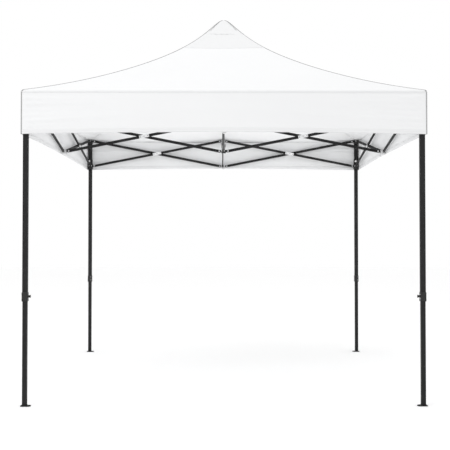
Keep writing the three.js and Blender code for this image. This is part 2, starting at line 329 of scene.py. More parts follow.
def zinc():
    """Bright zinc plate with a soft cloudy bloom and fine turning marks."""
    paint = Paint("zinc_plate", (0.66, 0.67, 0.68), 0.3, 1.0)
    bloom = paint.noise(120, 4, 0.6)
    paint.set("Base Color", paint.mix(bloom, shade(0.56, (1, 1, 1.02)), shade(0.8)))
    paint.set("Roughness", 0.2 + bloom * 0.24)
    paint.set("Normal", paint.bump(paint.noise(1600, 2), 0.00006, 0.4))
    return paint.material


def cover_cloth(name, level, stitched=False):
    """Coated white polyester: a fine plain weave, a soft sheen and faint handling marks. A stitched
    tape also has two rows of stitches along its length."""
    paint = Paint(name, (level, level, level), 0.72)
    across, along = paint.map_part(0), paint.map_part(1)
    thread = 2 * math.pi / 0.0011
    weft, warp = (across * thread).wave(), (along * thread).wave()
    weave = (weft * warp) * 0.5 + (weft.size() + warp.size()) * 0.25
    cloud = paint.noise(1.6, 3, 0.55)
    marks = paint.ramp(paint.noise(9, 5, 0.62), [(0.55, 0.0), (0.85, 1.0)])
    cool, clean = shade(level * 0.965, (0.985, 0.99, 1.0)), shade(level, (0.99, 0.995, 1.0))
    cloth = paint.mix(cloud, cool, clean)
    cloth = paint.mix(marks * 0.05, cloth, shade(level * 0.8))
    cloth = paint.mix(weave * 0.03, cloth, shade(level * 0.86))
    height = paint.bump(weave, 0.00012, 0.3)
    if stitched:
        stitch_row = (across * (1 / 0.022) - 0.18).size().below(0.05)
        other_row = (across * (1 / 0.022) - 0.82).size().below(0.05)
        thread_on = (along * (1 / 0.0042)).rest().below(0.72)
        stitches = stitch_row.most(other_row) * thread_on
        cloth = paint.mix(stitches * 0.3, cloth, shade(level * 0.72))
        height = paint.bump(stitches, 0.0005, 0.6, height)
    paint.set("Base Color", cloth)
    paint.set("Roughness", 0.66 + cloud * 0.08 + weave * 0.05)
    paint.set("Sheen Weight", 0.15)
    paint.set("Sheen Roughness", 0.4)
    creases = paint.bump(paint.noise(5.5, 3, 0.5), 0.004, 0.25, height)
    paint.set("Normal", creases)
    return paint.material


def studio_floor():
    paint = Paint("studio_floor", (0.99, 0.99, 0.99), 0.8)
    paint.set("Roughness", 0.75 + paint.noise(3, 2) * 0.1)
    paint.set("Specular IOR Level", 0.1)
    return paint.material


COAT = powder_coat()
BLACK_NYLON = nylon("black_nylon", 0.014, 0.5)
GREY_NYLON = nylon("grey_nylon", 0.56, 0.38, (0.985, 0.99, 1.0))
SILVER_NYLON = nylon("silver_nylon", 0.82, 0.34, (0.99, 0.995, 1.0))
WHITE_NYLON = nylon("white_nylon", 0.8, 0.32)
ZINC = zinc()
POLE_STEEL = pole_steel()
COVER = cover_cloth("cover_cloth", 0.79)
TAPE = cover_cloth("seam_tape", 0.76, True)
PIPING = cover_cloth("seam_piping", 0.34)
DOUBLED = cover_cloth("doubled_cloth", 0.74)


# ---------------------------------------------------------------------------------------------
# Modelling by hand
# ---------------------------------------------------------------------------------------------


def only(piece):
    """Selects one piece and nothing else."""
    bpy.ops.object.select_all(action="DESELECT")
    piece.select_set(True)
    bpy.context.view_layer.objects.active = piece
    return piece


def settled(piece, name):
    """Names a new piece and puts its place, turn and size into its mesh."""
    piece.name = name
    only(piece)
    bpy.ops.object.transform_apply(location=True, rotation=True, scale=True)
    return piece


def block(name, low, high):
    low, high = Vector(low), Vector(high)
    bpy.ops.object.select_all(action="DESELECT")
    bpy.ops.mesh.primitive_cube_add(size=1, location=(low + high) / 2, scale=high - low)
    return settled(bpy.context.object, name)


def rod(name, radius, start, end, sides=32):
    """A round rod between two points."""
    start, end = Vector(start), Vector(end)
    turn = (end - start).to_track_quat("Z", "Y").to_euler()
    bpy.ops.object.select_all(action="DESELECT")
    bpy.ops.mesh.primitive_cylinder_add(
        vertices=sides,
        radius=radius,
        depth=(end - start).length,
        location=(start + end) / 2,
        rotation=turn,
    )
    return settled(bpy.context.object, name)


class Open:
    """A piece open in edit mode. Picking selects faces or edges by their middle and direction."""

    def __init__(self, piece):
        self.piece = piece

    def __enter__(self):
        only(self.piece)
        bpy.ops.object.mode_set(mode="EDIT")
        return self

    def __exit__(self, *_):
        bpy.ops.object.mode_set(mode="OBJECT")

    def pick(self, kind, test):
        bpy.ops.mesh.select_mode(type=kind)
        bpy.ops.mesh.select_all(action="DESELECT")
        shape = bmesh.from_edit_mesh(self.piece.data)
        if kind == "FACE":
            found = [face for face in shape.faces if test(face.calc_center_median(), face.normal)]
        else:
            found = [edge for edge in shape.edges if test(*middle_and_direction(edge))]
        for part in found:
            part.select_set(True)
        bmesh.update_edit_mesh(self.piece.data)
        return self

    def faces(self, test):
        return self.pick("FACE", test)

    def edges(self, test):
        return self.pick("EDGE", test)

    def bevel(self, width, segments=3):
        bpy.ops.mesh.bevel(offset=width, segments=segments, affect="EDGES")
        return self

    def inset(self, thickness, depth=0.0):
        bpy.ops.mesh.inset(thickness=thickness, depth=depth)
        return self

    def extrude(self, move):
        bpy.ops.mesh.extrude_region_move(TRANSFORM_OT_translate={"value": move})
        return self

    def tunnel(self):
        bpy.ops.mesh.bridge_edge_loops()
        return self


def middle_and_direction(edge):
    first, second = (corner.co for corner in edge.verts)
    return (first + second) / 2, (second - first).normalized()


def rounded(piece, width, segments=2, angle=40):
    """Rounds every sharp edge a little, and shades the piece smooth between its edges."""
    only(piece)
    modifier = piece.modifiers.new("rounding", "BEVEL")
    modifier.width = width
    modifier.segments = segments
    modifier.limit_method = "ANGLE"
    modifier.angle_limit = math.radians(angle)
    bpy.ops.object.modifier_apply(modifier=modifier.name)
    bpy.ops.object.shade_smooth_by_angle(angle=math.radians(angle))
    return piece


def cut(piece, tool):
    """Cuts a hole with another piece, which is then thrown away."""
    only(piece)
    modifier = piece.modifiers.new("cut", "BOOLEAN")
    modifier.operation = "DIFFERENCE"
    modifier.solver = "EXACT"
    modifier.object = tool
    bpy.ops.object.modifier_apply(modifier=modifier.name)
    bpy.data.objects.remove(tool)
    return piece


def copied(piece, name, place):
    """A copy with its own mesh, moved by a matrix."""
    twin = piece.copy()
    twin.data = piece.data.copy()
    twin.name = name
    bpy.context.scene.collection.objects.link(twin)
    twin.data.transform(place)
    return twin


def joined(name, pieces):
    only(pieces[0])
    for piece in pieces:
        piece.select_set(True)
    bpy.ops.object.join()
    whole = bpy.context.object
    whole.name = name
    return whole


def fitted(piece, body, material, stands_for=()):
    """Gives a piece its material, its body and the CAD nodes that it stands for."""
    piece.data.materials.clear()
    piece.data.materials.append(material)
    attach(piece, body)
    if stands_for:
        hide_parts(*stands_for)
    return piece


def discarded(*pieces):
    for piece in pieces:
        bpy.data.objects.remove(piece)


# ---------------------------------------------------------------------------------------------
# Bolts and clevises, modelled once at the origin with the bolt along Y
# ---------------------------------------------------------------------------------------------

WASHER = 0.9 * MM


def bolt_pattern(name, half_span):
    """A pan-head bolt with a socket, a shaft, two washers and a nut with its thread showing."""
    face = half_span + WASHER
    head = rod(name + "_head", 6 * MM, (0, face, 0), (0, face + 3.8 * MM, 0), 24)
    with Open(head) as edit:
        edit.edges(lambda at, _: at.y > face + 3.7 * MM and at.xz.length > 5 * MM).bevel(2 * MM, 4)
        edit.faces(lambda at, normal: normal.y > 0.9 and at.xz.length < MM).inset(1.4 * MM)
        edit.extrude((0, -2.2 * MM, 0))
    nut = rod(name + "_nut", 6.4 * MM, (0, -face - 4.6 * MM, 0), (0, -face, 0), 6)
    with Open(nut) as edit:
        edit.edges(lambda at, _: at.y < -face - 4.5 * MM).bevel(0.7 * MM, 2)
    stub = rod(name + "_stub", 3.6 * MM, (0, -face - 6.6 * MM, 0), (0, -face - 4 * MM, 0), 20)
    with Open(stub) as edit:
        edit.edges(lambda at, _: at.y < -face - 6.5 * MM).bevel(0.8 * MM, 2)
    shaft = rod(name + "_shaft", 4 * MM, (0, -face, 0), (0, face, 0), 20)
    washers = []
    for low in (half_span, -face):
        washer = rod(name + "_washer", 7.2 * MM, (0, low, 0), (0, low + WASHER, 0), 28)
        with Open(washer) as edit:
            edit.edges(lambda at, _: at.xz.length > 6 * MM).bevel(0.25 * MM, 2)
        washers.append(washer)
    whole = joined(name, [head, nut, stub, shaft, *washers])
    only(whole)
    bpy.ops.object.shade_smooth_by_angle(angle=math.radians(35))
    return whole


def ear_pattern():
    """One ear of a clevis along +X from the origin: a moulded plate with a round end."""
    reach = 24 * MM
    ear = block("ear", (0, 0, -EAR_RADIUS), (reach + EAR_RADIUS, EAR, EAR_RADIUS))
    with Open(ear) as edit:
        edit.edges(lambda at, way: at.x > reach and abs(way.y) > 0.9).bevel(EAR_RADIUS * 0.98, 7)
    return rounded(ear, 0.7 * MM, 2)


CLEVIS_BOLT = bolt_pattern("clevis_bolt", SLOT / 2 + EAR)
CROSS_BOLT = bolt_pattern("cross_bolt", BAR_WIDTH + 0.5 * MM + 1.8 * MM)
EAR_SHAPE = ear_pattern()
EAR_REACH = 24 * MM


def arm(name, reach, aside, turns, centre):
    """The ears and the bolt of one clevis, turned by quarter turns and moved to its hub."""
    place = Matrix.Translation(centre) @ quarter_turn(turns)
    ears = []
    for y in (aside - SLOT / 2 - EAR, aside + SLOT / 2):
        shift = Matrix.Translation((reach - EAR_REACH, y, 0))
        ears.append(copied(EAR_SHAPE, name + "_ear", place @ shift))
    bolt = copied(CLEVIS_BOLT, name + "_bolt", place @ Matrix.Translation((reach, aside, 0)))
    return ears, bolt


# ---------------------------------------------------------------------------------------------
# Scissor bars
# ---------------------------------------------------------------------------------------------


def bar_pattern():
    """A rounded steel tube from its first pin at the origin along +X, with an inset end plug."""
    low = (-BAR_PAST_PIN, -BAR_WIDTH / 2, -BAR_HEIGHT / 2)
    high = (BAR_LENGTH + BAR_PAST_PIN, BAR_WIDTH / 2, BAR_HEIGHT / 2)
    bar = block("bar", low, high)
    with Open(bar) as edit:
        edit.edges(lambda at, way: abs(way.x) > 0.9).bevel(2.6 * MM, 4)
        edit.faces(lambda at, normal: abs(normal.x) > 0.9).inset(1.1 * MM)
        edit.inset(0.2 * MM, -1.2 * MM)
    return rounded(bar, 0.35 * MM, 2, 50)


def sleeve_pattern():
    """The moulded clip at a bar's crossing, centred on the origin: a plate on the bar's outer face,
    which looks along +Y, with a narrow lip over the bar's top and underside."""
    half = 46 * MM
    wall = 2 * MM
    tall = BAR_HEIGHT / 2 + 1.6 * MM
    low = (-half, BAR_WIDTH / 2 - 2 * MM, -tall)
    high = (half, BAR_WIDTH / 2 + wall, tall)
    sleeve = block("sleeve", low, high)
    with Open(sleeve) as edit:
        edit.edges(lambda at, way: abs(way.x) > 0.9 and at.y > 0).bevel(3 * MM, 4)
        edit.edges(lambda at, way: abs(at.x) > half - MM and at.y > 0).bevel(0.8 * MM, 2)
        edit.faces(lambda at, normal: normal.y > 0.99).inset(3.2 * MM)
        edit.inset(0.5 * MM, -0.7 * MM)
    rivets = []
    for x in (-34 * MM, 34 * MM):
        top = BAR_WIDTH / 2 + wall
        rivet = rod("rivet", 3.2 * MM, (x, 0, 0), (x, top + 0.9 * MM, 0), 20)
        with Open(rivet) as edit:
            edit.edges(lambda at, _: at.y > top).bevel(0.8 * MM, 3)
        rivets.append(rivet)
    return rounded(sleeve, 0.4 * MM, 2, 50), joined("rivets", rivets)


BAR_SHAPE = bar_pattern()
SLEEVE_SHAPE, RIVET_SHAPE = sleeve_pattern()


def bar_place(side, start, heading, rises):
    """From the bar's own frame to its place in the row frame."""
    pitch = -PITCH if rises else PITCH
    turn = Matrix.Rotation(heading, 4, "Z") @ Matrix.Rotation(pitch, 4, "Y")
    return quarter_turn(side) @ Matrix.Translation(start) @ turn


def make_bar(node, place, other_bar_side):
    """One bar with its sleeve. The bar that carries the crossing's bolt has it too. The other bar
    of the crossing is on the +Y side of this bar, or on its -Y side."""
    fitted(copied(BAR_SHAPE, node + "_tube", place), node, COAT, [node])
    middle = Matrix.Translation((BAR_LENGTH / 2, 0, 0))
    outward = Matrix.Rotation(math.pi if other_bar_side > 0 else 0, 4, "X")
    sleeve = copied(SLEEVE_SHAPE, node + "_sleeve", place @ middle @ outward)
    fitted(sleeve, node, SILVER_NYLON)
    rivets = copied(RIVET_SHAPE, node + "_rivets", place @ middle @ outward)
    fitted(rivets, node, BLACK_NYLON)
    if "outer" in node or "upper" in node:
        centre = Matrix.Translation((BAR_LENGTH / 2, other_bar_side * LATERAL, 0))
        bolt = copied(CROSS_BOLT, node + "_cross_bolt", place @ centre)
        fitted(bolt, node, ZINC)


def make_bars(index, side):
    outward = -math.pi / 2
    outer_y, inner_y = -LEG - LATERAL, -LEG + LATERAL
    leg_x = -LEG + LEG_ARM
    rows = [
        ("_centre_bar_upper", (LATERAL, -CENTRE_ARM, UPPER_PIN), outward, False, -1),
        ("_centre_bar_lower", (-LATERAL, -CENTRE_ARM, LOWER_PIN), outward, True, 1),
        ("_outer_bar_left", (leg_x, outer_y, UPPER_PIN), 0, False, 1),
        ("_outer_bar_right", (SIDE_ARM, outer_y, LOWER_PIN), 0, True, 1),
        ("_inner_bar_left", (leg_x, inner_y, LOWER_PIN), 0, True, -1),
        ("_inner_bar_right", (SIDE_ARM, inner_y, UPPER_PIN), 0, False, -1),
    ]
    for ending, start, heading, rises, other_bar_side in rows:
        make_bar(side + ending, bar_place(index, start, heading, rises), other_bar_side)


# ---------------------------------------------------------------------------------------------
# Hubs
# ---------------------------------------------------------------------------------------------

HUB_HALF = 20 * MM
HUB_ABOVE = 10 * MM
HUB_BELOW = 18 * MM


def hub_body(name, centre):
    """A moulded block with rounded sides and a sunk pocket in its top."""
    x, y, z = centre
    low = (x - HUB_HALF, y - HUB_HALF, z - HUB_BELOW)
    high = (x + HUB_HALF, y + HUB_HALF, z + HUB_ABOVE)
    body = block(name, low, high)
    with Open(body) as edit:
        edit.edges(lambda at, way: abs(way.z) > 0.9).bevel(5 * MM, 4)
        edit.faces(lambda at, normal: normal.z > 0.9).inset(3.5 * MM)
        edit.inset(0.8 * MM, -4 * MM)
    return body


def make_hub(node, centre, arms, material, index=0, belly=False, pole=None):
    """A hub in the front side's frame, with its arms as (reach, aside, turns)."""
    body = hub_body(node + "_body", centre)
    casting, plates, bolts = [body], [], []
    if belly:
        x, y, z = centre
        low = z - HUB_BELOW + 4 * MM
        start, end = (x, y - HUB_HALF, low), (x, y + HUB_HALF, low)
        casting.append(rounded(rod(node + "_belly", HUB_HALF, start, end, 40), 2 * MM, 3))
    if pole:
        x, y, z = centre
        cut(body, rod("pole_tool", pole, (x, y, z - 12 * MM), (x, y, z + 20 * MM), 40))
    rounded(body, 0.8 * MM, 2)
    for number, (reach, aside, turns) in enumerate(arms):
        ears, bolt = arm(f"{node}_arm_{number}", reach, aside, turns, centre)
        plates += ears
        bolts.append(bolt)
    casting = joined(node + "_casting", casting)
    plates = joined(node + "_ears", plates)
    bolts = joined(node + "_bolts", bolts)
    for piece in (casting, plates, bolts):
        piece.data.transform(quarter_turn(index))
    fitted(casting, node, material, [node])
    fitted(plates, node, BLACK_NYLON)
    fitted(bolts, node, ZINC)


def make_side_hubs(index, side):
    upper = [
        (SIDE_ARM, LATERAL, 0),
        (SIDE_ARM, -LATERAL, 2),
        (CENTRE_ARM, LATERAL, 1),
    ]
    lower = [(reach, -aside, turns) for reach, aside, turns in upper]
    make_hub(side + "_upper_hub", (0, -LEG, UPPER_PIN), upper, GREY_NYLON, index)
    make_hub(side + "_lower_hub", (0, -LEG, LOWER_PIN), lower, GREY_NYLON, index, belly=True)


def make_centre_hubs():
    hubs = [("centre_upper_hub", UPPER_PIN, LATERAL), ("centre_lower_hub", LOWER_PIN, -LATERAL)]
    for node, z, aside in hubs:
        arms = [(CENTRE_ARM, aside, turns) for turns in (-1, 0, 1, 2)]
        make_hub(node, (0, 0, z), arms, BLACK_NYLON, pole=11.4 * MM)


# ---------------------------------------------------------------------------------------------
# Legs
# ---------------------------------------------------------------------------------------------

# Each corner's knob, button and foot face one of its two arms: 0 along its side, 1 towards the
# side before it.
FACINGS = {
    "front_left": {"knob": 0, "button": 1, "foot": 0},
    "front_right": {"knob": 1, "button": 0, "foot": 1},
    "back_right": {"knob": 1, "button": 1, "foot": 0},
    "back_left": {"knob": 0, "button": 0, "foot": 1},
}


def upright(name, size, low, high, corner):
    """A square post about the Z axis with rounded corners."""
    post = block(name, (-size / 2, -size / 2, low), (size / 2, size / 2, high))
    with Open(post) as edit:
        edit.edges(lambda at, way: abs(way.z) > 0.9).bevel(corner, 4)
    return post


def outer_leg_patterns(box_low):
    """The outer leg's tube, collar with its knob boss and top cap."""
    tube = rounded(upright("tube", OUTER_TUBE, box_low + 6 * MM, UPPER_PIN - 12 * MM, 3.2 * MM), 0.3 * MM)
    collar = upright("collar", 44 * MM, box_low, box_low + 65 * MM, 6 * MM)
    with Open(collar) as edit:
        edit.faces(lambda at, normal: normal.z > 0.9).inset(2.2 * MM)
        edit.extrude((0, 0, 4 * MM))
    low_edge, high_edge = box_low + 12 * MM, box_low + 53 * MM
    knob_z = box_low + 36 * MM
    ribs = []
    for z in (low_edge, high_edge):
        ribs.append(upright("rib", 46 * MM, z - 2 * MM, z + 2 * MM, 6.5 * MM))
    boss = rod("boss", 9 * MM, (20 * MM, 0, knob_z), (28 * MM, 0, knob_z), 32)
    with Open(boss) as edit:
        edit.edges(lambda at, _: at.x > 27 * MM).bevel(1.5 * MM, 3)
    collar = joined("collar", [collar, boss, *ribs])
    rounded(collar, 0.8 * MM, 2)
    cap = upright("cap", 45 * MM, UPPER_PIN - 28 * MM, UPPER_PIN + 6 * MM, 5 * MM)
    with Open(cap) as edit:
        edit.faces(lambda at, normal: normal.z > 0.9).inset(4 * MM)
        edit.extrude((0, 0, 2.5 * MM))
    rounded(cap, MM, 2)
    return tube, collar, cap


def screw_pattern():
    """A small pan-head screw that faces +X at the origin."""
    screw = rod("screw", 4.2 * MM, (-3 * MM, 0, 0), (1.8 * MM, 0, 0), 20)
    with Open(screw) as edit:
        edit.edges(lambda at, _: at.x > 1.7 * MM).bevel(1.3 * MM, 3)
        edit.faces(lambda at, normal: normal.x > 0.9 and at.yz.length < MM).inset(1.2 * MM)
        edit.extrude((-1.2 * MM, 0, 0))
    only(screw)
    bpy.ops.object.shade_smooth_by_angle(angle=math.radians(35))
    return screw


def slider_pattern(z_low):
    """A slider's housing, narrower above its step, with the bore for the outer leg."""
    housing = upright("housing", 50 * MM, z_low, z_low + 56 * MM, 5 * MM)
    with Open(housing) as edit:
        edit.faces(lambda at, normal: normal.z > 0.9).inset(2.6 * MM)
        edit.extrude((0, 0, 46 * MM))
        edit.faces(lambda at, normal: abs(normal.z) > 0.9 and at.xy.length < MM)
        edit.inset((44.8 - 38.2) / 2 * MM)
        edit.faces(lambda at, normal: abs(normal.z) > 0.9 and at.xy.length < MM).tunnel()
    return housing


BUTTON_ASIDE = -8 * MM  # of the slider's middle
BUTTON_BACK = 26.8 * MM
BOSS_FACE = 29 * MM
BOSS_RECESS = 6.3 * MM


def button_boss(z):
    """The round boss round the slider's button, facing +X, with its recess."""
    near, far = (21 * MM, BUTTON_ASIDE, z), (BOSS_FACE, BUTTON_ASIDE, z)
    boss = rod("boss", 10 * MM, near, far, 32)
    with Open(boss) as edit:
        edit.edges(lambda at, _: at.x > BOSS_FACE - MM).bevel(1.4 * MM, 3)
        edit.faces(lambda at, normal: normal.x > 0.9 and at.x > BOSS_FACE - MM).inset(1.2 * MM)
        edit.extrude((-BOSS_RECESS, 0, 0))
    return boss


def button_pattern(z):
    """The slider's push button: a domed cap with a sunk ring."""
    back, front = (BUTTON_BACK, BUTTON_ASIDE, z), (33.5 * MM, BUTTON_ASIDE, z)
    button = rod("button", 7 * MM, back, front, 32)
    with Open(button) as edit:
        edit.edges(lambda at, _: at.x > 33 * MM).bevel(2.2 * MM, 4)
        edit.faces(lambda at, normal: normal.x > 0.9 and at.x > 33 * MM).inset(1.5 * MM)
        edit.inset(0.5 * MM, -0.6 * MM)
    return rounded(button, 0.3 * MM, 2)


def knob_pattern(z):
    """The collar's pull knob: a fluted grip on a neck, along +X."""
    start = 28.5 * MM
    neck = rod("neck", 5.5 * MM, (20 * MM, 0, z), (start + 3 * MM, 0, z), 24)
    grip = rod("grip", 8.6 * MM, (start + 1.5 * MM, 0, z), (start + 11 * MM, 0, z), 24)
    with Open(grip) as edit:
        edit.edges(lambda at, _: at.x > start + 10 * MM).bevel(1.8 * MM, 3)
        flutes = lambda at, normal: abs(normal.x) < 0.1 and flute_number(at, z) % 2 == 0
        edit.faces(flutes).inset(0.35 * MM, 0.5 * MM)
        edit.faces(lambda at, normal: normal.x > 0.9 and at.x > start + 10 * MM).inset(2 * MM)
        edit.inset(0.5 * MM, -0.8 * MM)
    knob = joined("knob", [grip, neck])
    return rounded(knob, 0.25 * MM, 2)


def flute_number(at, z):
    """Which of the grip's twenty-four sides a face is."""
    return int(round(math.atan2(at.z - z, at.y) / (2 * math.pi / 24) - 0.5))


def inner_leg_patterns(top):
    """The inner leg's tube, the weld and the foot plate along +X."""
    tube = upright("tube", INNER_TUBE, 5 * MM, top, 3 * MM)
    foot = block("foot", (-29 * MM, -22.5 * MM, 0), (45 * MM, 22.5 * MM, 6 * MM))
    with Open(foot) as edit:
        edit.edges(lambda at, way: abs(way.z) > 0.9 and at.x > 0).bevel(22 * MM, 10)
        edit.edges(lambda at, way: abs(way.z) > 0.9 and at.x < 0).bevel(7 * MM, 4)
    cut(foot, rod("peg_tool", 6 * MM, (31 * MM, 0, -MM), (31 * MM, 0, 8 * MM), 32))
    rounded(foot, 0.9 * MM, 3)
    weld = upright("weld", 39 * MM, 4.5 * MM, 10 * MM, 5 * MM)
    with Open(weld) as edit:
        edit.edges(lambda at, _: at.z > 9.9 * MM).bevel(2.8 * MM, 4)
    return rounded(tube, 0.3 * MM), joined("foot_plate", [foot, rounded(weld, 0.3 * MM)])


def height_holes(tube, turns):
    """Drills the row of locking holes in the knob's side of an inner leg."""
    for number in range(4):
        z = (560 - 120 * number) * MM
        tool = rod("hole_tool", 4.2 * MM, (10 * MM, 0, z), (20 * MM, 0, z), 20)
        tool.data.transform(quarter_turn(turns))
        cut(tube, tool)


def make_corner(index, corner):
    """A corner's leg, collar, cap, slider, button, knob and foot, in the corner's own frame."""
    facing = FACINGS[corner]
    place = quarter_turn(index) @ Matrix.Translation((-LEG, -LEG, 0))
    turned = lambda key: place @ quarter_turn(facing[key])
    leg, inner = corner + "_outer_leg", corner + "_inner_leg"
    slider, knob, button = corner + "_slider", corner + "_pull_knob", corner + "_slider_button"

    fitted(copied(TUBE, leg + "_tube", place), leg, COAT, [leg])
    fitted(copied(COLLAR, leg + "_collar", turned("knob")), leg, BLACK_NYLON)
    screws = []
    for z in (COLLAR_LOW + 20 * MM, COLLAR_LOW + 50 * MM):
        spot = Matrix.Translation((22.2 * MM, 12 * MM, z))
        screws.append(copied(SCREW, "collar_screw", turned("knob") @ spot))
    screws = joined(leg + "_collar_screws", screws)
    fitted(screws, leg, ZINC)
    make_clevises(leg, CAP, [(LEG_ARM, -LATERAL, 0), (LEG_ARM, LATERAL, 1)], UPPER_PIN, place, "_cap")

    foot = copied(FOOT, inner + "_foot", turned("foot"))
    tube = copied(INNER, inner + "_tube", place)
    height_holes_at = Matrix.Translation(place.translation) @ quarter_turn(index)
    tube.data.transform(height_holes_at.inverted())
    height_holes(tube, facing["knob"])
    tube.data.transform(height_holes_at)
    fitted(tube, inner, COAT, [inner])
    fitted(foot, inner, COAT)

    fitted(copied(KNOB, knob + "_grip", turned("knob")), knob, BLACK_NYLON, [knob])
    fitted(copied(BUTTON, button + "_cap", turned("button")), button, WHITE_NYLON, [button])
    boss = copied(BUTTON_BOSS, slider + "_boss", quarter_turn(facing["button"]))
    body = joined(slider + "_body", [copied(SLIDER, slider + "_housing", Matrix.Identity(4)), boss])
    arms = [(LEG_ARM, LATERAL, 0), (LEG_ARM, -LATERAL, 1)]
    make_clevises(slider, body, arms, LOWER_PIN, place, "_housing", [slider])
    discarded(body)


def make_clevises(node, body, arms, z, place, ending, stands_for=()):
    """A copy of a part with two clevises joined to it, and their bolts."""
    parts, bolts = [copied(body, node + ending, Matrix.Identity(4))], []
    for number, (reach, aside, turns) in enumerate(arms):
        ears, bolt = arm(f"{node}_arm_{number}", reach, aside, turns, (0, 0, z))
        parts += ears
        bolts.append(bolt)
    whole, fixings = joined(node + ending, parts), joined(node + ending + "_bolts", bolts)
    for piece in (whole, fixings):
        piece.data.transform(place)
    fitted(whole, node, BLACK_NYLON, stands_for)
    fitted(fixings, node, ZINC)


COLLAR_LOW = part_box("front_left_outer_leg")[0].z
SLIDER_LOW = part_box("front_left_slider")[0].z
BUTTON_Z = sum(corner.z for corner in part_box("front_left_slider_button")) / 2
KNOB_Z = sum(corner.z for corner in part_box("front_left_pull_knob")) / 2

TUBE, COLLAR, CAP = outer_leg_patterns(COLLAR_LOW)
SCREW = screw_pattern()
SLIDER = rounded(slider_pattern(SLIDER_LOW), 0.9 * MM, 2)
BUTTON_BOSS = rounded(button_boss(BUTTON_Z), 0.4 * MM, 2)
BUTTON = button_pattern(BUTTON_Z)
KNOB = knob_pattern(KNOB_Z)
INNER, FOOT = inner_leg_patterns(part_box("front_left_inner_leg")[1].z)


# ---------------------------------------------------------------------------------------------
# Centre pole
# ---------------------------------------------------------------------------------------------

POLE_RADIUS = 10 * MM


def make_pole():
    low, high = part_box("peak_pole")
    tube = rod("tube", POLE_RADIUS, (0, 0, low.z), (0, 0, high.z - 36 * MM), 40)
    with Open(tube) as edit:
        edit.edges(lambda at, _: at.z < low.z + MM).bevel(1.2 * MM, 3)
    only(tube)
    bpy.ops.object.shade_smooth_by_angle(angle=math.radians(35))
    fitted(tube, "peak_pole", POLE_STEEL, ["peak_pole"])
    tube.name = "peak_pole_tube"
    bpy.ops.object.select_all(action="DESELECT")
    middle = (0, 0, high.z - 34 * MM)
    bpy.ops.mesh.primitive_uv_sphere_add(segments=40, ring_count=20, radius=1, location=middle)
    cap = bpy.context.object
    cap.scale = (36 * MM, 36 * MM, 34 * MM)
    settled(cap, "peak_pole_cap")
    with Open(cap) as edit:
        bpy.ops.mesh.select_all(action="SELECT")
        rim = high.z - 38 * MM
        bpy.ops.mesh.bisect(plane_co=(0, 0, rim), plane_no=(0, 0, 1), clear_inner=True, use_fill=True)
        edit.faces(lambda at, normal: normal.z < -0.9).inset(22 * MM)
        edit.extrude((0, 0, -18 * MM))
    rounded(cap, 0.8 * MM, 2, 50)
    fitted(cap, "peak_pole", BLACK_NYLON)


# ---------------------------------------------------------------------------------------------
# Cover
# ---------------------------------------------------------------------------------------------


def roof_height(s):
    """The cover's height at s, the larger of a point's distances from the two centre planes."""
    away = math.hypot(s, PEAK_ROUNDING) - PEAK_ROUNDING
    whole = math.hypot(EAVE, PEAK_ROUNDING) - PEAK_ROUNDING
    u = 1 - away / whole
    return EAVE_Z + (PEAK - EAVE_Z) * (0.52 * u + 0.34 * u**2 + 0.14 * u**8)


def corner_folds(across, down, seed):
    """Small folds that run out level from a corner, at a distance across and down from its top."""
    fan = down * (1 + 0.25 * across)
    fine = math.sin(fan * 150 + seed) + 0.5 * math.sin(fan * 83 + 2.1 * seed + 3 * across)
    return fine * math.exp(-across / 0.24) * min(1.0, across / 0.05)


def long_fold(across, down, start, slope, width, reach):
    """One soft ridge that leaves a corner at a height and fades along the sheet."""
    off = (down - start - slope * across) / (width * (1 + across))
    return math.exp(-(off**2)) * math.exp(-across / reach) * min(1.0, across / 0.08)


def roof_ripple(x, s, seed):
    """How far the roof stands off its smooth shape: it sags a little between the hips and has
    pull lines at the corners and at the pole."""
    share = min(1.0, abs(x) / s) if s > 0 else 1.0
    inward = EAVE - s
    hip = (1 - share**2) ** 1.5
    sag = -0.010 * hip * math.sin(math.pi * min(1.0, inward / EAVE))
    corner = 0
    for side in (-1, 1):
        across = EAVE - side * x
        angle = math.atan2(inward, across + 0.001)
        reach = math.hypot(inward, across)
        fan = math.sin(14 * angle + seed + side) + 0.5 * math.sin(27 * angle + 2 * seed)
        corner += fan * math.exp(-reach / 0.4) * min(1.0, reach / 0.08)
    fan = math.sin(7 * math.pi * x / max(s, 0.05) + seed) * math.exp(-s / 0.3) * (1 - share**4)
    rolling = math.sin(3.1 * x + seed) * math.sin(4.3 * s + 0.7 * seed)
    edge = (1 - share**6) * min(1.0, inward / 0.06)
    return sag + edge * (0.0022 * corner + 0.0020 * fan + 0.0018 * rolling)


def valance_ripple(x, down, seed):
    """How far the valance stands off its plane, outward."""
    drop = EAVE_Z - VALANCE_BOTTOM
    folds = 0
    for side in (-1, 1):
        across = EAVE - side * x
        folds += 0.0016 * corner_folds(across, down, seed + side)
        folds += 0.0046 * long_fold(across, down, 0.66 * drop, -0.06, 0.016, 0.8)
        folds += 0.0034 * long_fold(across, down, 0.12 * drop, 0.08, 0.02, 0.5)
        folds -= 0.0034 * long_fold(across, down, 0.4 * drop, -0.01, 0.024, 0.35)
    rolling = math.sin(4.2 * x + seed) * 0.6 + math.sin(9.1 * x + 1.9 * seed) * 0.4
    loose = (down / drop) ** 1.3
    edge = min(1.0, (EAVE - abs(x)) / 0.04) * min(1.0, down / 0.03)
    return edge * (folds + 0.0034 * rolling * loose)


